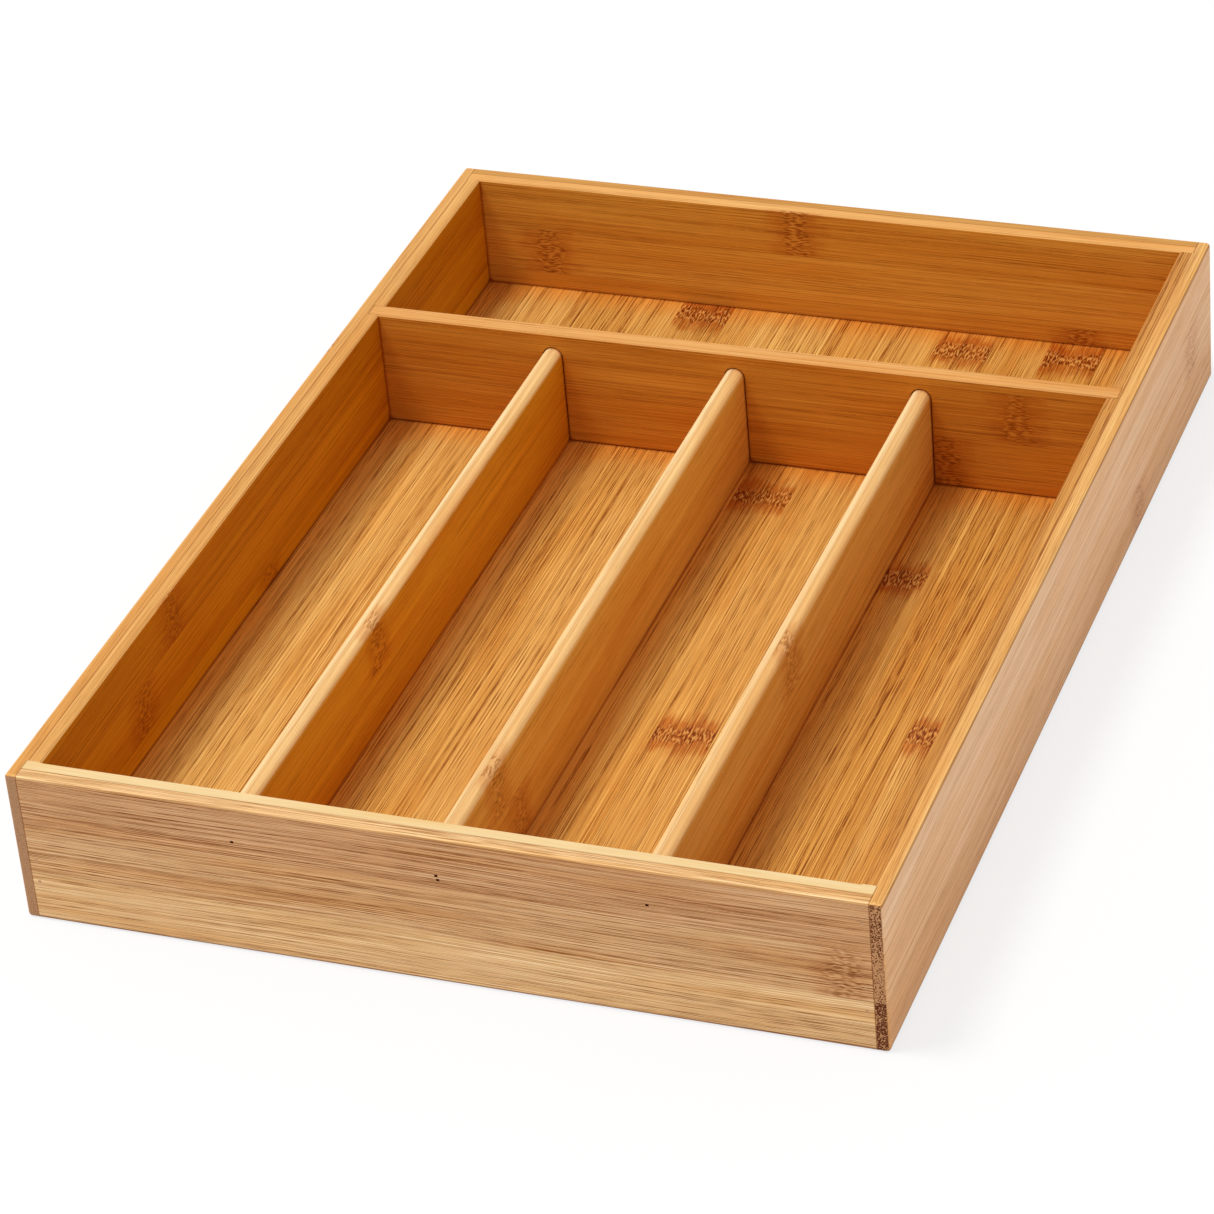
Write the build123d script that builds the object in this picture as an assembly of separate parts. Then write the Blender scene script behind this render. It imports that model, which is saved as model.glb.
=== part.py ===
from build123d import *
import os

# Cutlery tray of laminated bamboo: four long compartments at the front and one across the back.
# Lengths are in millimetres. X runs across the tray, Y from the front wall to the back wall and
# Z up. The origin is the centre of the underside.

# Outside of the tray
tray_width = 254.0
tray_length = 359.0
tray_height = 49.0

# Thicknesses of the boards
wall_thickness = 8.0
cross_thickness = 6.0
divider_thickness = 6.0
panel_thickness = 4.5

# Where the inner boards stand
panel_lip = 6.0             # wall left under the base panel
back_bay = 85.0             # clear length of the crosswise compartment
divider_pitch = 60.3        # from the middle of one long divider to the next
divider_drop = 5.0          # how far the long dividers stop below the rim

# Joinery
corner_tongue = 3.5         # side wall left outside the end of the front or back wall
dado_depth = 3.5            # cross divider's ends, let into the side walls
dado_play = 0.1
slot_depth = 2.0            # long dividers' back ends, let into the cross divider
slot_play = 0.35
cross_gap = 0.3             # under the cross divider, which its dados carry
groove_depth = 3.0          # base panel's edges, let into all four walls
panel_edge_play = 0.25
panel_top_play = 0.2
filler_inner_length = 6.0   # block that closes the over-long dado in the right wall
filler_outer_length = 8.3

# Sanding
outer_radius = 1.2
rim_chamfer = 0.4

# Brad nails, of fine flattened wire with a slight head and a chisel point
brad_length = 20.0
brad_wire_thickness = 0.8
brad_shank_width = 0.75
brad_head_width = 0.95
brad_head_length = 0.5
brad_point_length = 1.4
brad_set = 1.0              # depth of the head below the wood

# Places of the brads
divider_brad_height = 37.5
divider_brad_offset = 1.0   # to the right of the divider's middle
double_brad_drop = 1.6      # the middle divider's two brads sit lower
double_brad_gap = 0.5       # wood between those two
double_brad_step = 0.4      # how far the lower one stands to the right of the upper one
corner_brad_height_shares = (0.27, 0.42, 0.86)

# Length of a tool past the wood that it cuts
overrun = 5.0

# Planes and levels that follow from the sizes
side_outer = tray_width / 2
side_inner = side_outer - wall_thickness
side_tongue = side_outer - corner_tongue
front_outer = -tray_length / 2
front_inner = front_outer + wall_thickness
back_outer = tray_length / 2
back_inner = back_outer - wall_thickness
cross_back = back_inner - back_bay
cross_front = cross_back - cross_thickness
floor_level = panel_lip + panel_thickness
groove_top = floor_level + panel_top_play
divider_top = tray_height - divider_drop
dado_back = cross_back + dado_play / 2
dado_front = cross_front - dado_play / 2
divider_centres = (-divider_pitch, 0.0, divider_pitch)


def outline(*points):
    """Flat face inside a closed run of straight edges."""
    return make_face(Polyline(*points, close=True))


def along_x(section, start, end):
    """Solid of a Y-Z section between two places on X."""
    return Pos(start, 0, 0) * extrude(Plane.YZ * section, amount=end - start)


def along_y(section, start, end):
    """Solid of an X-Z section between two places on Y."""
    return Pos(0, end, 0) * extrude(Plane.XZ * section, amount=end - start)


def along_z(section, start, end):
    """Solid of an X-Y section between two levels."""
    return Pos(0, 0, start) * extrude(section, amount=end - start)


def rectangle_between(low, high):
    """Rectangular face with its corners at two points of the drawing plane."""
    return outline(low, (high[0], low[1]), high, (low[0], high[1]))


def sanded_outside():
    """Outer form of the glued frame once its corners and edges are rounded over."""
    block = Pos(0, 0, tray_height / 2) * Box(tray_width, tray_length, tray_height)
    return fillet(block.edges(), outer_radius)


def rim_easing(bay_front, bay_back):
    """Tool that breaks the inner top edges round the bay between two cross members."""
    width = 2 * (side_inner + rim_chamfer)
    length = bay_back - bay_front + 2 * rim_chamfer
    tool = Box(width, length, rim_chamfer + overrun, align=(Align.CENTER, Align.CENTER, Align.MIN))
    tool = chamfer(tool.faces().sort_by(Axis.Z)[0].edges(), rim_chamfer)
    return Pos(0, (bay_front + bay_back) / 2, tray_height - rim_chamfer) * tool


def sand(board):
    """The board as it is left after the whole frame is rounded over and its rim eased."""
    board = board & sanded_outside()
    board = board - rim_easing(front_inner, cross_front)
    return board - rim_easing(cross_back, back_inner)


def brad_profile():
    """Plan of a brad driven along +Y, with the top of its head on the X axis."""
    head = brad_head_width / 2
    shank = brad_shank_width / 2
    point_start = brad_length - brad_point_length
    return outline(
        (-head, 0),
        (head, 0),
        (head, brad_head_length),
        (shank, brad_head_length),
        (shank, point_start),
        (0, brad_length),
        (-shank, point_start),
        (-shank, brad_head_length),
        (-head, brad_head_length),
    )


def brad():
    """One brad along +Y, centred on the X and Z axes."""
    return along_z(brad_profile(), -brad_wire_thickness / 2, brad_wire_thickness / 2)


def head_pocket():
    """Room above a set brad, from the wood's surface down to the head."""
    half = brad_head_width / 2
    return along_z(
        rectangle_between((-half, -brad_set), (half, 0)),
        -brad_wire_thickness / 2,
        brad_wire_thickness / 2,
    )


def divider_brad_places():
    """One brad into each outer divider's end and two, one over the other, into the middle one's."""
    depth = front_outer + brad_set
    middle = divider_brad_height - double_brad_drop
    rise = (brad_wire_thickness + double_brad_gap) / 2
    places = []
    for centre in divider_centres:
        across = centre + divider_brad_offset
        if centre == 0:
            places.append(Pos(across - double_brad_step / 2, depth, middle + rise))
            places.append(Pos(across + double_brad_step / 2, depth, middle - rise))
        else:
            places.append(Pos(across, depth, divider_brad_height))
    return places


def corner_brad_places():
    """Three brads in each corner, through the end of the front or back wall into the side wall."""
    across = (side_inner + side_tongue) / 2
    places = []
    for side in (-across, across):
        for share in corner_brad_height_shares:
            height = share * tray_height
            places.append(Pos(side, front_outer + brad_set, height))
            places.append(Pos(side, back_outer - brad_set, height) * Rot(0, 0, 180))
    return places


def at_places(places, solid):
    """Copies of a solid, each at one of the places."""
    return [place * solid for place in places]


def nail_holes():
    """Everything that the brads and the pockets over them take out of the wood."""
    places = divider_brad_places() + corner_brad_places()
    return at_places(places, brad()) + at_places(places, head_pocket())


def end_wall(outer, inner):
    """Front or back wall: a grooved board whose ends stop at the side walls' tongues."""
    groove_bottom = inner + (outer - inner) * groove_depth / wall_thickness
    section = outline(
        (outer, 0),
        (inner, 0),
        (inner, panel_lip),
        (groove_bottom, panel_lip),
        (groove_bottom, groove_top),
        (inner, groove_top),
        (inner, tray_height),
        (outer, tray_height),
    )
    return sand(along_x(section, -side_tongue, side_tongue)) - nail_holes()


def side_wall(side, filler_lengths):
    """Side wall on the side 1 or -1: rabbets at its ends, a dado for the cross divider, a groove.

    The filler lengths are how far the dado was cut too long, at its mouth and at its bottom.
    """
    mouth, bottom = filler_lengths
    dado_bottom = side_inner + dado_depth
    plan = (
        (side_outer, front_outer),
        (side_outer, back_outer),
        (side_tongue, back_outer),
        (side_tongue, back_inner),
        (side_inner, back_inner),
        (side_inner, dado_back),
        (dado_bottom, dado_back),
        (dado_bottom, dado_front - bottom),
        (side_inner, dado_front - mouth),
        (side_inner, front_inner),
        (side_tongue, front_inner),
        (side_tongue, front_outer),
    )
    board = along_z(outline(*[(side * x, y) for x, y in plan]), 0, tray_height)
    groove = rectangle_between(
        (side * (side_inner - overrun), panel_lip),
        (side * (side_inner + groove_depth), groove_top),
    )
    board = board - along_y(groove, front_inner - overrun, back_inner + overrun)
    return sand(board) - nail_holes()


def base_panel():
    """Floor board, loose in the walls' grooves and resting on their lower lips."""
    reach = groove_depth - panel_edge_play
    panel = rectangle_between(
        (-side_inner - reach, front_inner - reach),
        (side_inner + reach, back_inner + reach),
    )
    return along_z(panel, panel_lip, floor_level)


def bullnose_section(centre, thickness, bottom, top):
    """X-Z section of an upright board whose top edge is fully rounded."""
    radius = thickness / 2
    shoulder = top - radius
    left, right = centre - radius, centre + radius
    sides = Polyline((left, shoulder), (left, bottom), (right, bottom), (right, shoulder))
    crown = ThreePointArc((right, shoulder), (centre, top), (left, shoulder))
    return make_face(sides + crown)


def long_divider(centre):
    """Bullnose divider, butted to the front wall and let into the cross divider."""
    section = bullnose_section(centre, divider_thickness, floor_level, divider_top)
    return along_y(section, front_inner, cross_front + slot_depth) - nail_holes()


def cross_divider():
    """Divider across the tray, flush with the rim, with a round-topped stopped slot per divider."""
    reach = side_inner + dado_depth
    bottom = floor_level + cross_gap
    plan = rectangle_between((-reach, cross_front), (reach, cross_back))
    board = along_z(plan, bottom, tray_height)
    for centre in divider_centres:
        slot = bullnose_section(
            centre,
            divider_thickness + 2 * slot_play,
            bottom - overrun,
            divider_top + slot_play,
        )
        board = board - along_y(slot, cross_front - overrun, cross_front + slot_depth)
    return sand(board)


def dado_filler():
    """Block let into the right wall in front of the cross divider, with a slanted front end."""
    bottom = side_inner + dado_depth
    plan = outline(
        (side_inner, cross_front),
        (bottom, cross_front),
        (bottom, dado_front - filler_outer_length),
        (side_inner, dado_front - filler_inner_length),
    )
    return sand(along_z(plan, floor_level, tray_height))


pieces = {
    "front_wall": end_wall(front_outer, front_inner),
    "back_wall": end_wall(back_outer, back_inner),
    "left_wall": side_wall(-1, (0, 0)),
    "right_wall": side_wall(1, (filler_inner_length, filler_outer_length)),
    "base_panel": base_panel(),
    "cross_divider": cross_divider(),
    "dado_filler": dado_filler(),
    "divider_brads": Compound(at_places(divider_brad_places(), brad())),
    "corner_brads": Compound(at_places(corner_brad_places(), brad())),
    "brad_putty": Compound(at_places(corner_brad_places(), head_pocket())),
}
for name, centre in zip(("left_divider", "middle_divider", "right_divider"), divider_centres):
    pieces[name] = long_divider(centre)

os.makedirs("parts", exist_ok=True)
for name, piece in pieces.items():
    export_step(piece, f"parts/{name}.step")
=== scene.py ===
import math
from collections import namedtuple
from types import SimpleNamespace

import bpy
from mathutils import Matrix, Vector


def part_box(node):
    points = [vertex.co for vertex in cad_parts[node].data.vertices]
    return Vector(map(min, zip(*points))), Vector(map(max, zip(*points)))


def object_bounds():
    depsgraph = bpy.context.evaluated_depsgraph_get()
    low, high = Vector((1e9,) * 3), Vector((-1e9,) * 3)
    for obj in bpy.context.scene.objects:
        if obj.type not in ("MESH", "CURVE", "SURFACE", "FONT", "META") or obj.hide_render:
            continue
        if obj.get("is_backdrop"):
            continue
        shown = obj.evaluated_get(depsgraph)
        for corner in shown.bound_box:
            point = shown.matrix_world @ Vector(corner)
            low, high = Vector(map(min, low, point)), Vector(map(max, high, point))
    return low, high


# Looks of the laminated bamboo cutlery tray. Places and sizes are in metres, and the materials
# work in millimetres, in the tray's own frame: X across, Y from front to back, Z up.

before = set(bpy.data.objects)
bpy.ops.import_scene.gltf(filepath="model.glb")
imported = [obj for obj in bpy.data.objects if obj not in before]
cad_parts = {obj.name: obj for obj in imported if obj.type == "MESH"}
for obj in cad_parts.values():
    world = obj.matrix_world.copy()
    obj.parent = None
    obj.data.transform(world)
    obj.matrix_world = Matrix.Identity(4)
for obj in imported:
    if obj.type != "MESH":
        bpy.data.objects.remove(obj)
cad_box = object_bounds()

PER_METRE = 1000.0

# Camera, as found from the tray's straight edges in the photograph
CAMERA_AIM = Vector((-0.0051, -0.0276, 0.0245))
CAMERA_DISTANCE = 1.4358
CAMERA_AZIMUTH = 22.49
CAMERA_ELEVATION = 33.194
CAMERA_ROLL = -5.296
CAMERA_LENS = 144.02
SENSOR_WIDTH = 36.0

# Light
SKY_STRENGTH = 0.65
KEY_PLACE = Vector((-1.3, -0.5, 3.6))
KEY_SIZE = 1.0
KEY_POWER = 82.0
FLOOR_HALF = 6.0
FLOOR_COLOUR = 0.90
FLOOR_GLOW = 0.75           # share of plain white in the ground, as far as it is only looked at
WHITE = (1.0, 1.0, 1.0, 1.0)


def srgb(red, green, blue):
    """Linear colour of three display values from 0 to 255."""
    linear = []
    for value in (red, green, blue):
        share = value / 255
        linear.append(share / 12.92 if share <= 0.04045 else ((share + 0.055) / 1.055) ** 2.4)
    return (*linear, 1.0)


class Wiring:
    """Short ways to add shader nodes to one tree."""

    def __init__(self, tree):
        self.tree = tree
        tree.nodes.clear()

    def add(self, kind, inputs=None, **settings):
        """A node with its options set and its inputs filled by name or number."""
        node = self.tree.nodes.new("ShaderNode" + kind)
        for name, value in settings.items():
            setattr(node, name, value)
        for key, value in (inputs or {}).items():
            if isinstance(value, bpy.types.NodeSocket):
                self.tree.links.new(value, node.inputs[key])
            else:
                node.inputs[key].default_value = value
        return node

    def math(self, operation, *values):
        """Number worked out from other numbers."""
        return self.add("Math", dict(enumerate(values)), operation=operation).outputs[0]

    def vector(self, operation, *values):
        """Vector worked out from other vectors."""
        return self.add("VectorMath", dict(enumerate(values)), operation=operation).outputs[0]

    def join(self, x, y, z):
        """Vector of three numbers."""
        return self.add("CombineXYZ", {0: x, 1: y, 2: z}).outputs[0]

    def noise(self, vector, size, detail=2.0):
        """Noise from 0 to 1 with features of a size along, across and into the board."""
        inputs = {"Vector": self.vector("DIVIDE", vector, size), "Scale": 1.0, "Detail": detail}
        return self.add("TexNoise", inputs).outputs["Fac"]

    def spread(self, value, low, high, start=0.0, end=1.0):
        """The value carried smoothly from one range to another."""
        inputs = {0: value, 1: low, 2: high, 3: start, 4: end}
        return self.add("MapRange", inputs, interpolation_type="SMOOTHSTEP").outputs[0]

    def swing(self, value, size):
        """A value from 0 to 1 as a swing of a size, to both sides of zero."""
        return self.math("MULTIPLY", self.math("SUBTRACT", value, 0.5), size)

    def between(self, factor, first, second):
        """Number between two numbers."""
        step = self.math("MULTIPLY", factor, self.math("SUBTRACT", second, first))
        return self.math("ADD", first, step)

    def blend(self, factor, first, second, blend_type="MIX"):
        """Colour between two colours."""
        inputs = {0: factor, 6: first, 7: second}
        return self.add("Mix", inputs, data_type="RGBA", blend_type=blend_type).outputs[2]

    def tinted(self, factor, colour, tint):
        """The colour multiplied by a tint as far as the factor says."""
        return self.blend(factor, colour, (*tint, 1.0), "MULTIPLY")

    def steps(self, value, levels):
        """One level for each equal step of a value from 0 to 1."""
        node = self.add("ValToRGB", {0: value})
        ramp = node.color_ramp
        ramp.interpolation = "CONSTANT"
        while len(ramp.elements) < len(levels):
            ramp.elements.new(1.0)
        for number, level in enumerate(levels):
            ramp.elements[number].position = number / len(levels)
            ramp.elements[number].color = (level, level, level, 1.0)
        return node.outputs[0]


# The pale and the brown end of a wood, and how strongly its fibres show
Wood = namedtuple("Wood", "pale brown lines")

# Where a knuckle lies: its share of the board's length and the number of its strip
Knuckle = namedtuple("Knuckle", "share strip")

# How one node is cut from the bamboo. The axes are the letters for along, across and into the
# board. Faces, edges, tones and knuckles have one entry for each ply, ply 0 on the side with the
# lower X, Y or Z, and the tones a level from 0, pale, to 1, brown, for each strip. The dots say
# how crowded the cut fibres are in each strip's end. The pitch is the breadth of a strip where
# the board isn't divided evenly, the stain is how strongly the knuckles show, the fineness how
# much narrower the fibres are than usual, and the unevenness how far a strip's tone wanders.
Board = namedtuple(
    "Board",
    "node axes seed faces edges ends tones knuckles dots pitch stain fineness unevenness",
    defaults=(None, None, 0.0, 1.0, 0.6),
)

# Finishes by place
FRONT_FACE = Wood(srgb(234, 189, 132), srgb(204, 146, 97), 1.25)
OUTER_FACE = Wood(srgb(238, 193, 142), srgb(207, 153, 106), 0.6)
# The right wall's outer face: pale pinkish, partly its own tone and partly painted reflection of the
# white ground
RIGHT_FACE_AND_SHEEN = Wood(srgb(247, 203, 159), srgb(221, 160, 99), 0.35)
BACK_FACE = Wood(srgb(236, 169, 68), srgb(198, 119, 28), 0.5)
LEFT_FACE = Wood(srgb(229, 152, 20), srgb(186, 99, 7), 0.4)
CROSS_FACE = Wood(srgb(228, 154, 56), srgb(190, 108, 24), 0.5)
LEFT_DIVIDER_FACE = Wood(srgb(240, 167, 36), srgb(198, 111, 14), 0.4)
MIDDLE_DIVIDER_FACE = Wood(srgb(251, 195, 91), srgb(213, 137, 41), 0.4)
RIGHT_DIVIDER_FACE = Wood(srgb(254, 201, 106), srgb(212, 144, 48), 0.4)
FLOOR_FACE = Wood(srgb(232, 177, 95), srgb(192, 119, 25), 1.0)
FRONT_RIM_INSIDE = Wood(srgb(255, 238, 184), srgb(255, 212, 149), 0.15)
FRONT_RIM_OUTSIDE = Wood(srgb(253, 212, 150), srgb(242, 186, 124), 0.9)
BACK_RIM_INSIDE = Wood(srgb(254, 201, 121), srgb(243, 170, 91), 0.3)
BACK_RIM_OUTSIDE = Wood(srgb(232, 174, 93), srgb(206, 146, 67), 0.3)
LEFT_RIM = Wood(srgb(247, 190, 111), srgb(224, 160, 84), 0.4)
RIGHT_RIM_INSIDE = Wood(srgb(232, 164, 83), srgb(196, 129, 53), 0.8)
RIGHT_RIM_OUTSIDE = Wood(srgb(252, 203, 125), srgb(242, 173, 98), 0.5)
CROSS_RIM = Wood(srgb(230, 169, 97), srgb(211, 143, 73), 0.45)
# Divider tops: the left half paler and the right half more orange, partly the plies' own tones and
# partly painted light from the left and painted shade on the right
DIVIDER_TOP_LEFT_WITH_LIGHT = Wood(srgb(253, 222, 163), srgb(250, 200, 139), 0.35)
DIVIDER_TOP_RIGHT_WITH_SHADE = Wood(srgb(255, 216, 148), srgb(239, 172, 101), 0.25)
LEFT_END = Wood(srgb(177, 133, 96), srgb(149, 102, 71), 0.0)
RIGHT_END = Wood(srgb(195, 142, 96), srgb(94, 43, 16), 0.0)

# Colours of the brads, painted dark for the shade in their holes, and of the filler over them
STEEL_IN_SHADE_BRIGHT = srgb(34, 26, 21)
STEEL_IN_SHADE_DULL = srgb(14, 10, 8)
PUTTY_PALE = srgb(206, 158, 112)
PUTTY_BROWN = srgb(172, 122, 80)

# Tints that the wood is multiplied by: darker where they are below 1, paler where above
LINE_TINT = (0.38, 0.23, 0.12)
PALE_TINT = (1.24, 1.48, 1.85)
# Also the tint of the painted shade along the walls' rounded arrises
GLUE_AND_SHADE_TINT = (0.50, 0.36, 0.26)
STAIN_TINT = (0.72, 0.42, 0.24)
DASH_TINT = (0.50, 0.36, 0.22)
BLUSH_TINT = (0.94, 0.80, 0.60)
SHADE_TINT = (1.07, 0.85, 0.58)
# Painted shade where boards meet, and darker painted shade in the brad holes
CREASE_SHADE_TINT = (0.60, 0.34, 0.20)
PIT_SHADE_TINT = (0.34, 0.18, 0.12)

# Sizes of the noises in millimetres, in a board along, across and into it
RIDGES = (200.0, 0.65, 0.65)
THREADS = (80.0, 0.30, 0.30)
CROWDS = (150.0, 3.2, 3.2)
PATCHES = (9.0, 0.4, 0.4)
FLECKS = (2.2, 0.3, 0.3)
SHADES = (110.0, 4.0, 4.0)
BLUSHES = (80.0, 12.0, 12.0)
STREAKS = (14.0, 0.9, 0.9)
WAVES = (6.0, 4.5, 4.5)
DRIFTS = (110.0, 26.0, 26.0)
KINKS = (2.6, 0.9, 0.9)
DASHES = (2.2, 0.5, 0.5)
END_PATCHES = (1.0, 4.0, 2.0)
GRIME = (0.8, 0.8, 0.8)
GRIT = (0.5, 0.5, 0.5)

# Ranges that turn a value into a mark: where the mark begins, where it is full and, for some,
# its least and its greatest strength. The first ones go by noises from 0 to 1.
CROWD_RANGE = (0.24, 0.52, 0.6, 1.0)
PATCH_RANGE = (0.35, 0.62, 0.3, 1.0)
RIDGE_RANGE = (0.09, 0.02, 0.0, 0.6)
DARK_THREAD_RANGE = (0.53, 0.60)
PALE_THREAD_RANGE = (0.46, 0.39)
DARK_DASH_RANGE = (0.50, 0.60)
PALE_DASH_RANGE = (0.46, 0.38)
FLECK_RANGE = (0.70, 0.78)
BLUSH_RANGE = (0.42, 0.68, 0.0, 0.6)
DOT_RANGE = (-0.10, 0.10)

# Ranges that go by how open a place is
SHADE_RANGE = (0.88, 0.58)
# Painted shade where boards meet and in the brad holes
CREASE_SHADE_RANGE = (0.75, 0.48)
PIT_SHADE_RANGE = (0.46, 0.30)

# Ranges that go by how far a surface is turned to the board's edge or end, or away from an arris
EDGE_RANGE = (0.12, 0.5)
END_RANGE = (0.6, 0.9)
# Painted shade along the walls' rounded arrises
ARRIS_SHADE_RANGE = (0.36, 0.20)

# Ranges that go by millimetres from a knuckle, from the line between the plies or from an end
STAIN_RANGE = (12.0, 4.8)
BAND_RANGE = (5.7, 2.66)
PLY_RANGE = (0.25, 0.08)
JOINT_RANGE = (0.40, 0.15)

# Strengths, as shares
STRIP_LINES = (0.75, 1.35)  # fibres in the palest and in the brownest strips
DARK_LINES = 0.95
SEAMS = 0.35                # glue between the strips
# The plies' strength also sets the painted shade along the walls' arrises
PLIES_AND_ARRIS_SHADE = 0.7                 # glue between the plies, and the arrises
DARK_DASHES = 1.4           # broken fibres, as a share of the board's stain
PALE_DASHES = 0.6
PALE_FLECKS = 0.3
SHADED_LINES = 0.7          # how much of the pale fibres goes in the shade

# The surface under the lacquer
GLOSS = 0.08                # specular level
ROUGHNESS = 0.42
LINE_ROUGHNESS = 0.14       # how much rougher the dark fibres are
RELIEF = 0.00002            # depth of the fibres, in metres
RELIEF_STRENGTH = 0.35
PALE_RELIEF = 0.4           # height of the pale fibres beside the depth of the dark ones
PUTTY_ROUGHNESS = 0.65
STEEL_ROUGHNESS = 0.35
GRIME_ROUGHNESS = 0.3       # how much rougher the dull places of the steel are

# Lengths in millimetres
FLOOR_STRIP = 18.0          # breadth of the floor's strips, which don't divide it evenly
CROSS_STRIP = 17.5          # the same for the cross divider
STRIP_SEAM = 0.25           # breadth of the glue between strips
FIBRE_DRIFT = 2.0           # how far the fibres stray across the board
KNUCKLE_KINK = 0.9          # how far they bend in a knuckle
KNUCKLE_WAVE = 9.0          # how far a knuckle wanders along the grain
KNUCKLE_STREAK = 12.0       # how far its stain runs out along single fibres
END_CELL = 0.44             # breadth of one cut fibre in the end grain
FAR = 1000.0                # farther than any board is long

# How far the strips are shifted in the texture at most, along, across and into the board
STRIP_SHIFT = (400.0, 60.0, 60.0)

# How far off other faces still make the painted shade of a crease or the floor's shade, in metres,
# and the rays that look for them
CREASE_SHADE_REACH = 0.0022
SHADE_REACH = 0.018
REACH_RAYS = 8

# Other levels, from 0 to 1
EDGE_TONE = 0.4             # tone of all edges
# Where the painted shade on an arris is darkest
ARRIS_SHADE_TURN = 0.4            # how far the middle of an arris is turned to the board's edge
CROWD_LEAN = 0.15           # how much sparser the fibres get from one side of a strip to the other
END_UNEVENNESS = 0.3        # how far the crowding of the cut fibres wanders


def span(node, letter):
    """Lowest and highest place of a node along one axis, in millimetres."""
    low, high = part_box(node)
    number = "XYZ".index(letter)
    return low[number] * PER_METRE, high[number] * PER_METRE


def new_material(name):
    """An empty material and the wiring for its nodes."""
    material = bpy.data.materials.new(name)
    material.use_nodes = True
    return material, Wiring(material.node_tree)


def new_object(name, data):
    """An object in the scene."""
    made = bpy.data.objects.new(name, data)
    bpy.context.scene.collection.objects.link(made)
    return made


def millimetres(w):
    """The place of a point in the tray's frame, in millimetres."""
    return w.vector("MULTIPLY", w.add("TexCoord").outputs["Object"], (PER_METRE,) * 3)


def openness(w, reach):
    """How open a place is: 1 on a free face, and less the closer other faces stand round it."""
    return w.add("AmbientOcclusion", {"Distance": reach}, samples=REACH_RAYS).outputs["AO"]


def lay_out(w, board):
    """Where a point lies in its board: along, across and into it, its strip, ply and facing."""
    split = w.add("SeparateXYZ", {0: millimetres(w)})
    normal = w.add("SeparateXYZ", {0: w.add("NewGeometry").outputs["Normal"]})
    along, across, deep = (split.outputs["XYZ".index(letter)] for letter in board.axes)
    facing = [w.math("ABSOLUTE", normal.outputs["XYZ".index(letter)]) for letter in board.axes]

    low, high = span(board.node, board.axes[1])
    pitch = board.pitch or (high - low) / len(board.tones[0])
    strip_place = w.math("DIVIDE", w.math("SUBTRACT", across, low), pitch)
    strip = w.math("FLOOR", strip_place)
    middle = sum(span(board.node, board.axes[2])) / 2
    ply = w.math("GREATER_THAN", deep, middle)
    chance = w.add("TexWhiteNoise", {"Vector": w.join(strip, ply, board.seed)}).outputs["Color"]
    return SimpleNamespace(
        along=along,
        across=across,
        deep=deep,
        facing=facing,
        grain=w.join(along, across, deep),
        edge=w.spread(facing[1], *EDGE_RANGE),
        end=w.spread(facing[0], *END_RANGE),
        pitch=pitch,
        strip_place=strip_place,
        strip=strip,
        strip_share=w.math("FRACT", strip_place),
        middle=middle,
        ply=ply,
        shift=w.vector("MULTIPLY", chance, STRIP_SHIFT),
    )


def mixed(w, board, at, field):
    """A board's colour or strength of lines at a place: by ply, and on its edges."""
    join = w.between if field == "lines" else w.blend
    rows = []
    for woods in (board.faces, board.edges):
        first, second = (getattr(wood, field) for wood in woods)
        rows.append(first if first == second else join(at.ply, first, second))
    return join(at.edge, *rows)


def by_strip(w, at, levels):
    """The level of the strip at a place, from one row of levels for each ply."""
    rows = [w.steps(w.math("DIVIDE", at.strip_place, float(len(row))), row) for row in levels]
    return w.between(at.ply, *rows)


def knuckle_distance(w, board, at, along):
    """Distance along the grain to the nearest knuckle of the same strip and ply."""
    low, high = span(board.node, board.axes[0])
    nearest = FAR
    for number, row in enumerate(board.knuckles):
        for knuckle in row:
            middle = low + knuckle.share * (high - low)
            away = w.math("ABSOLUTE", w.math("SUBTRACT", along, middle))
            other_strip = w.math("ABSOLUTE", w.math("SUBTRACT", at.strip, float(knuckle.strip)))
            other_ply = w.math("ABSOLUTE", w.math("SUBTRACT", at.ply, float(number)))
            elsewhere = w.math("MULTIPLY", w.math("ADD", other_strip, other_ply), FAR)
            nearest = w.math("MINIMUM", nearest, w.math("ADD", away, elsewhere))
    return nearest


def knuckle_marks(w, board, at):
    """Stain round the knuckles and the narrower band of broken fibres, each from 0 to 1."""
    streak = w.noise(w.vector("ADD", at.grain, at.shift), STREAKS, detail=1.0)
    wave = w.noise(at.grain, WAVES, detail=1.0)
    waved = w.math("ADD", at.along, w.swing(wave, KNUCKLE_WAVE))
    streaked = w.math("ADD", waved, w.swing(streak, KNUCKLE_STREAK))
    stain = knuckle_distance(w, board, at, streaked)
    band = knuckle_distance(w, board, at, waved)
    return w.spread(stain, *STAIN_RANGE), w.spread(band, *BAND_RANGE)


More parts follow.
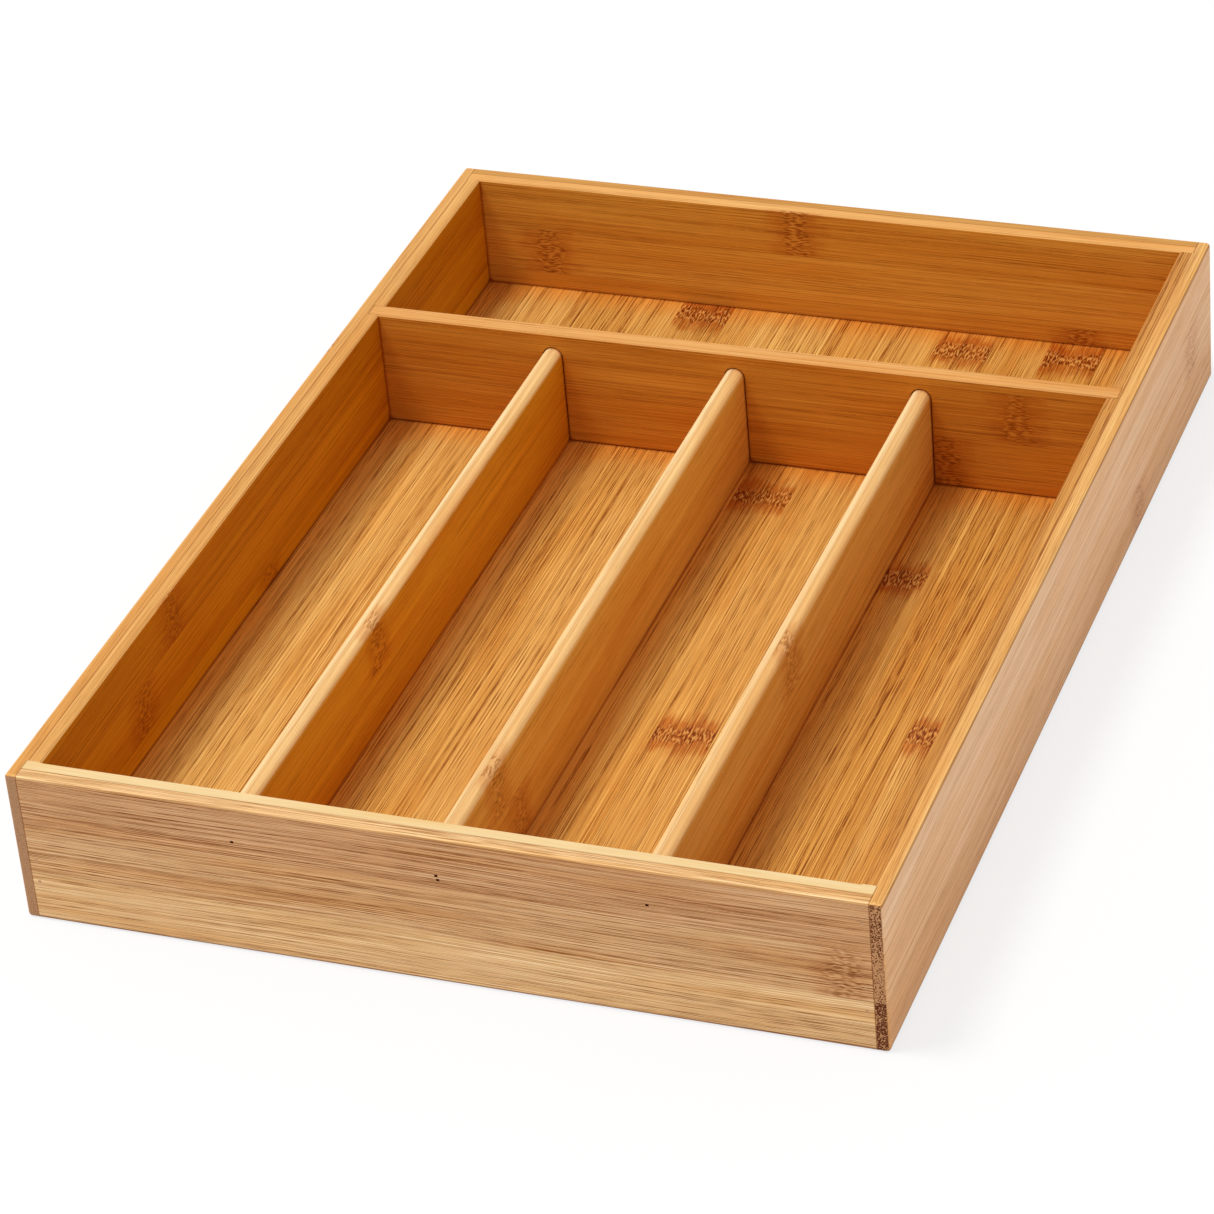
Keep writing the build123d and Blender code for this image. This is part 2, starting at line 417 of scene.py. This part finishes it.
def fibres(w, board, at, band):
    """Dark and pale fibre lines from 0 to 1, and the bent coordinates that they follow."""
    drift = w.swing(w.noise(at.grain, DRIFTS, detail=0.0), FIBRE_DRIFT)
    kink = w.math("MULTIPLY", w.swing(w.noise(at.grain, KINKS, detail=0.0), KNUCKLE_KINK), band)
    bent = w.join(at.along, w.math("ADD", w.math("ADD", at.across, drift), kink), at.deep)
    narrowing = (1.0, board.fineness, board.fineness)
    path = w.vector("MULTIPLY", w.vector("ADD", bent, at.shift), narrowing)
    lean = w.math("MULTIPLY", at.strip_share, CROWD_LEAN)
    crowd = w.spread(w.math("SUBTRACT", w.noise(path, CROWDS, detail=1.0), lean), *CROWD_RANGE)
    patch = w.spread(w.noise(path, PATCHES, detail=0.0), *PATCH_RANGE)
    ridges = w.math("ABSOLUTE", w.math("SUBTRACT", w.noise(path, RIDGES, detail=0.0), 0.5))
    threads = w.noise(path, THREADS, detail=0.0)
    dark = w.math("MAXIMUM", w.spread(ridges, *RIDGE_RANGE), w.spread(threads, *DARK_THREAD_RANGE))
    dark = w.math("MULTIPLY", dark, w.math("MULTIPLY", crowd, patch))
    pale = w.math("MULTIPLY", w.spread(threads, *PALE_THREAD_RANGE), patch)
    return dark, pale, path, bent


def dashes(w, bent, band):
    """Dark and pale ends of the fibres that are broken in a knuckle, each from 0 to 1."""
    dash = w.noise(bent, DASHES, detail=0.0)
    dark = w.math("MULTIPLY", w.spread(dash, *DARK_DASH_RANGE), band)
    pale = w.math("MULTIPLY", w.spread(dash, *PALE_DASH_RANGE), band)
    return dark, pale


def plain_wood(w, board, path, strip_tone, light_wood, brown_wood):
    """The colour of the strips without their fibres."""
    tone = w.math("ADD", strip_tone, w.swing(w.noise(path, SHADES), board.unevenness))
    tone = w.math("MAXIMUM", w.math("MINIMUM", tone, 1.0), 0.0)
    blush = w.spread(w.noise(path, BLUSHES, detail=1.0), *BLUSH_RANGE)
    return w.tinted(blush, w.blend(tone, light_wood, brown_wood), BLUSH_TINT)


def shaded(w, colour, pale):
    """The floor's colour and pale fibres in the warm shade at the foot of the boards."""
    shade = w.spread(openness(w, SHADE_REACH), *SHADE_RANGE)
    kept = w.math("SUBTRACT", 1.0, w.math("MULTIPLY", shade, SHADED_LINES))
    return w.tinted(shade, colour, SHADE_TINT), w.math("MULTIPLY", pale, kept)


def glue(w, board, at, colour):
    """The colour with the glue lines between strips, between plies and at the board's ends, and with
    painted shade along the walls' rounded arrises.
    """
    dark_mark = w.math("ABSOLUTE", w.math("SUBTRACT", at.strip_share, 0.5))
    dark_mark = w.spread(dark_mark, 0.5 - STRIP_SEAM / at.pitch, 0.5)
    colour = w.tinted(w.math("MULTIPLY", dark_mark, SEAMS), colour, GLUE_AND_SHADE_TINT)
    if board.node.endswith("wall"):
        dark_mark = w.spread(w.math("ABSOLUTE", w.math("SUBTRACT", at.deep, at.middle)), *PLY_RANGE)
        # Painted shade along the rounded arris, taken together with the glue between the plies
        turn = w.math("ABSOLUTE", w.math("SUBTRACT", at.facing[1], ARRIS_SHADE_TURN))
        dark_mark = w.math("MAXIMUM", dark_mark, w.spread(turn, *ARRIS_SHADE_RANGE))
        colour = w.tinted(w.math("MULTIPLY", dark_mark, PLIES_AND_ARRIS_SHADE), colour, GLUE_AND_SHADE_TINT)
    low, high = span(board.node, board.axes[0])
    joint = w.math("MINIMUM", w.math("SUBTRACT", at.along, low), w.math("SUBTRACT", high, at.along))
    return w.tinted(w.spread(joint, *JOINT_RANGE), colour, GLUE_AND_SHADE_TINT)


def crease_shade(w, board, colour):
    """The colour darkened with painted shade where boards meet, and more so in the walls' brad holes.
    """
    crease = openness(w, CREASE_SHADE_REACH)
    colour = w.tinted(w.spread(crease, *CREASE_SHADE_RANGE), colour, CREASE_SHADE_TINT)
    if board.node.endswith("wall"):
        colour = w.tinted(w.spread(crease, *PIT_SHADE_RANGE), colour, PIT_SHADE_TINT)
    return colour


def end_grain(w, board, at):
    """Cut ends of the fibres: dark dots, more crowded in some strips."""
    cells = w.vector("DIVIDE", w.join(0.0, at.across, at.deep), (1.0, END_CELL, END_CELL))
    dots = w.add("TexVoronoi", {"Vector": cells, "Scale": 1.0, "Randomness": 1.0}).outputs["Distance"]
    patch = w.swing(w.noise(at.grain, END_PATCHES, detail=1.0), END_UNEVENNESS)
    crowd = w.math("ADD", by_strip(w, at, (board.dots, board.dots)), patch)
    dots = w.spread(w.math("SUBTRACT", crowd, dots), *DOT_RANGE)
    return w.blend(dots, board.ends.pale, board.ends.brown)


def lacquer(w, colour, pale, dark, broken):
    """Puts the colour under lacquer, with pale fibres raised and dark and broken ones sunken."""
    height = w.math("SUBTRACT", w.math("MULTIPLY", pale, PALE_RELIEF), w.math("ADD", dark, broken))
    bump = w.add("Bump", {"Strength": RELIEF_STRENGTH, "Distance": RELIEF, "Height": height})
    inputs = {
        "Base Color": colour,
        "Roughness": w.math("ADD", ROUGHNESS, w.math("MULTIPLY", dark, LINE_ROUGHNESS)),
        "Normal": bump.outputs[0],
        "Specular IOR Level": GLOSS,
    }
    shader = w.add("BsdfPrincipled", inputs)
    w.add("OutputMaterial", {0: shader.outputs[0]})


def bamboo(board):
    """Lacquered bamboo: strips side by side, fibres, knuckles, glue lines and end grain."""
    material, w = new_material("bamboo_" + board.node)
    at = lay_out(w, board)
    stain, band = knuckle_marks(w, board, at)
    dark, pale, path, bent = fibres(w, board, at, band)
    dark_dash, pale_dash = dashes(w, bent, band)
    fleck = w.spread(w.noise(path, FLECKS, detail=0.0), *FLECK_RANGE)
    light_wood = mixed(w, board, at, "pale")
    brown_wood = mixed(w, board, at, "brown")
    strip_tone = w.between(at.edge, by_strip(w, at, board.tones), EDGE_TONE)
    lines = w.math("MULTIPLY", mixed(w, board, at, "lines"), w.between(strip_tone, *STRIP_LINES))

    colour = plain_wood(w, board, path, strip_tone, light_wood, brown_wood)
    colour = w.tinted(w.math("MULTIPLY", stain, board.stain), colour, STAIN_TINT)
    if board.node == "base_panel":
        colour, pale = shaded(w, colour, pale)
    colour = w.tinted(w.math("MULTIPLY", pale, lines), colour, PALE_TINT)
    dark_line = w.math("MULTIPLY", w.math("MULTIPLY", dark, lines), DARK_LINES)
    colour = w.tinted(dark_line, colour, LINE_TINT)
    colour = w.blend(w.math("MULTIPLY", fleck, PALE_FLECKS), colour, light_wood)
    colour = w.tinted(w.math("MULTIPLY", dark_dash, DARK_DASHES * board.stain), colour, DASH_TINT)
    colour = w.blend(w.math("MULTIPLY", pale_dash, PALE_DASHES * board.stain), colour, light_wood)
    # Glue lines, and painted shade along the walls' arrises
    colour = glue(w, board, at, colour)
    # Painted shade where boards meet and in the brad holes
    colour = crease_shade(w, board, colour)
    if board.ends:
        colour = w.blend(at.end, colour, end_grain(w, board, at))
    lacquer(w, colour, pale, dark, dark_dash)
    return material


def walls():
    """The four walls."""
    front = Board(
        node="front_wall",
        axes="XZY",
        seed=1.0,
        faces=(FRONT_FACE, BACK_FACE),
        edges=(FRONT_RIM_OUTSIDE, FRONT_RIM_INSIDE),
        ends=None,
        # The front ply's strips go from palest at the bottom to brownest at the top, partly their own
        # tones and partly painted light bounced up from the ground
        tones=((0.08, 0.5, 0.78), (0.5, 0.5, 0.5)),
        knuckles=([Knuckle(0.968, 1)], [Knuckle(0.257, 0), Knuckle(0.662, 2)]),
        stain=0.4,
        fineness=1.8,
        unevenness=0.2,
    )
    back = Board(
        node="back_wall",
        axes="XZY",
        seed=2.0,
        faces=(BACK_FACE, OUTER_FACE),
        edges=(BACK_RIM_INSIDE, BACK_RIM_OUTSIDE),
        ends=None,
        tones=((0.5, 0.4, 0.55), (0.3, 0.5, 0.3)),
        knuckles=([Knuckle(0.110, 1), Knuckle(0.464, 2), Knuckle(0.848, 0)], [Knuckle(0.621, 1)]),
        stain=0.5,
    )
    left = Board(
        node="left_wall",
        axes="YZX",
        seed=3.0,
        faces=(OUTER_FACE, LEFT_FACE),
        edges=(LEFT_RIM, LEFT_RIM),
        ends=LEFT_END,
        tones=((0.3, 0.5, 0.3), (0.2, 0.45, 0.7)),
        knuckles=([Knuckle(0.667, 2)], [Knuckle(0.196, 1), Knuckle(0.267, 2), Knuckle(0.450, 0)]),
        dots=(0.3, 0.3, 0.3),
        stain=0.45,
    )
    right = Board(
        node="right_wall",
        axes="YZX",
        seed=4.0,
        faces=(BACK_FACE, RIGHT_FACE_AND_SHEEN),
        edges=(RIGHT_RIM_INSIDE, RIGHT_RIM_OUTSIDE),
        ends=RIGHT_END,
        # The outer ply's strips go from brownest at the bottom to palest at the top, partly their own
        # tones and partly painted reflection of the white ground
        tones=((0.5, 0.4, 0.5), (0.75, 0.5, 0.3)),
        knuckles=([Knuckle(0.333, 1)], [Knuckle(0.738, 0), Knuckle(0.925, 1)]),
        dots=(0.62, 0.42, 0.52),
        stain=0.3,
    )
    return [front, back, left, right]


def inner_boards():
    """The floor panel, the cross divider and the block that fills the over-long dado."""
    floor_tones = (0.35, 0.2, 0.5, 0.35, 0.5, 0.25, 0.3, 0.45, 0.35, 0.4, 0.5, 0.6, 0.35, 0.5)
    floor_knuckles = [
        Knuckle(0.676, 7),
        Knuckle(0.309, 8),
        Knuckle(0.577, 10),
        Knuckle(0.353, 12),
        Knuckle(0.971, 4),
        Knuckle(0.958, 9),
        Knuckle(0.963, 11),
    ]
    panel = Board(
        node="base_panel",
        axes="YXZ",
        seed=5.0,
        faces=(FLOOR_FACE, FLOOR_FACE),
        edges=(FLOOR_FACE, FLOOR_FACE),
        ends=None,
        tones=(floor_tones, floor_tones),
        knuckles=(floor_knuckles, floor_knuckles),
        pitch=FLOOR_STRIP,
        stain=0.9,
    )
    cross = Board(
        node="cross_divider",
        axes="XZY",
        seed=6.0,
        faces=(CROSS_FACE, CROSS_FACE),
        edges=(CROSS_RIM, CROSS_RIM),
        ends=None,
        tones=((0.5, 0.5, 0.5), (0.5, 0.5, 0.5)),
        knuckles=([Knuckle(0.871, 1), Knuckle(0.773, 0)], []),
        pitch=CROSS_STRIP,
        stain=0.45,
    )
    filler = Board(
        node="dado_filler",
        axes="YZX",
        seed=7.0,
        faces=(RIGHT_RIM_INSIDE, RIGHT_RIM_INSIDE),
        edges=(RIGHT_RIM_INSIDE, RIGHT_RIM_INSIDE),
        ends=None,
        tones=((0.5, 0.5), (0.5, 0.5)),
        knuckles=([], []),
    )
    return [panel, cross, filler]


def long_dividers():
    """The three long dividers, each of two strips, with their visible knuckles on ply 1."""
    looks = (
        ("left_divider", LEFT_DIVIDER_FACE, (0.5, 0.45), [Knuckle(0.372, 1)]),
        ("middle_divider", MIDDLE_DIVIDER_FACE, (0.6, 0.5), [Knuckle(0.133, 1), Knuckle(0.187, 0)]),
        ("right_divider", RIGHT_DIVIDER_FACE, (0.7, 0.5), [Knuckle(0.440, 1)]),
    )
    return [
        Board(
            node=node,
            axes="YZX",
            seed=8.0 + number,
            faces=(face, face),
            # Left half with painted light, right half with painted shade
            edges=(DIVIDER_TOP_LEFT_WITH_LIGHT, DIVIDER_TOP_RIGHT_WITH_SHADE),
            ends=None,
            tones=((0.5, 0.5), tones),
            knuckles=([], knuckles),
            stain=0.45,
        )
        for number, (node, face, tones, knuckles) in enumerate(looks)
    ]


def steel():
    """Wire of the brads, dulled in places and painted dark for the shade in their holes."""
    material, w = new_material("brad_steel")
    grime = w.noise(millimetres(w), GRIME, detail=3.0)
    # Painted dark for the shade in the brad holes
    inputs = {
        "Base Color": w.blend(grime, STEEL_IN_SHADE_BRIGHT, STEEL_IN_SHADE_DULL),
        "Metallic": 1.0,
        "Roughness": w.math("ADD", STEEL_ROUGHNESS, w.math("MULTIPLY", grime, GRIME_ROUGHNESS)),
    }
    shader = w.add("BsdfPrincipled", inputs)
    w.add("OutputMaterial", {0: shader.outputs[0]})
    return material


def putty():
    """Matt filler, sanded flush over the corner brads."""
    material, w = new_material("wood_putty")
    colour = w.blend(w.noise(millimetres(w), GRIT, detail=3.0), PUTTY_PALE, PUTTY_BROWN)
    shader = w.add("BsdfPrincipled", {"Base Color": colour, "Roughness": PUTTY_ROUGHNESS})
    w.add("OutputMaterial", {0: shader.outputs[0]})
    return material


def dress(node, material):
    """Puts one material on a node of the frame."""
    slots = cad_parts[node].data.materials
    slots.clear()
    slots.append(material)


def only_seen(w):
    """1 for rays that look at a background, in the camera, in metal or through glass."""
    path = w.add("LightPath").outputs
    mirrored = w.math("MAXIMUM", path["Is Glossy Ray"], path["Is Transmission Ray"])
    return w.math("MAXIMUM", path["Is Camera Ray"], mirrored)


def floor():
    """Plain white ground that keeps the tray's shadow."""
    corners = [
        (-FLOOR_HALF, -FLOOR_HALF, 0),
        (FLOOR_HALF, -FLOOR_HALF, 0),
        (FLOOR_HALF, FLOOR_HALF, 0),
        (-FLOOR_HALF, FLOOR_HALF, 0),
    ]
    mesh = bpy.data.meshes.new("floor")
    mesh.from_pydata(corners, [], [(0, 1, 2, 3)])
    ground = new_object("floor", mesh)
    material, w = new_material("floor")
    diffuse = w.add("BsdfDiffuse", {"Color": (FLOOR_COLOUR,) * 3 + (1.0,)})
    glow = w.add("Emission", {"Color": WHITE, "Strength": 1.0})
    share = w.math("MULTIPLY", only_seen(w), FLOOR_GLOW)
    both = w.add("MixShader", {0: share, 1: diffuse.outputs[0], 2: glow.outputs[0]})
    w.add("OutputMaterial", {0: both.outputs[0]})
    mesh.materials.append(material)
    ground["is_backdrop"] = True


def sky():
    """Even white surroundings, pure white where they are only looked at."""
    world = bpy.data.worlds.new("studio")
    bpy.context.scene.world = world
    world.use_nodes = True
    w = Wiring(world.node_tree)
    lift = w.math("MULTIPLY", only_seen(w), 1.0 - SKY_STRENGTH)
    strength = w.math("ADD", SKY_STRENGTH, lift)
    background = w.add("Background", {"Color": WHITE, "Strength": strength})
    w.add("OutputWorld", {0: background.outputs[0]})


def key_light():
    """Large soft box high on the left."""
    light = bpy.data.lights.new("key", "AREA")
    light.shape = "SQUARE"
    light.size = KEY_SIZE
    light.energy = KEY_POWER
    lamp = new_object("key", light)
    lamp.location = KEY_PLACE
    lamp.rotation_mode = "QUATERNION"
    lamp.rotation_quaternion = (-KEY_PLACE).to_track_quat("-Z", "Y")


def camera():
    """Camera at the photograph's viewing angle."""
    data = bpy.data.cameras.new("camera")
    data.sensor_width = SENSOR_WIDTH
    data.lens = CAMERA_LENS
    eye = new_object("camera", data)
    azimuth, elevation = math.radians(CAMERA_AZIMUTH), math.radians(CAMERA_ELEVATION)
    back = Vector((
        math.sin(azimuth) * math.cos(elevation),
        -math.cos(azimuth) * math.cos(elevation),
        math.sin(elevation),
    ))
    level = (-back).to_track_quat("-Z", "Y").to_matrix().to_4x4()
    turn = Matrix.Rotation(math.radians(CAMERA_ROLL), 4, "Z")
    eye.matrix_world = Matrix.Translation(CAMERA_AIM + back * CAMERA_DISTANCE) @ level @ turn
    bpy.context.scene.camera = eye


for board in walls() + inner_boards() + long_dividers():
    dress(board.node, bamboo(board))
brad_steel = steel()
dress("divider_brads", brad_steel)
dress("corner_brads", brad_steel)
dress("brad_putty", putty())
floor()
sky()
key_light()
camera()

bpy.context.scene.view_settings.view_transform = "Standard"

boxes = {"cad": cad_box, "visual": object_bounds()}
{name: [list(corner) for corner in box] for name, box in boxes.items()}
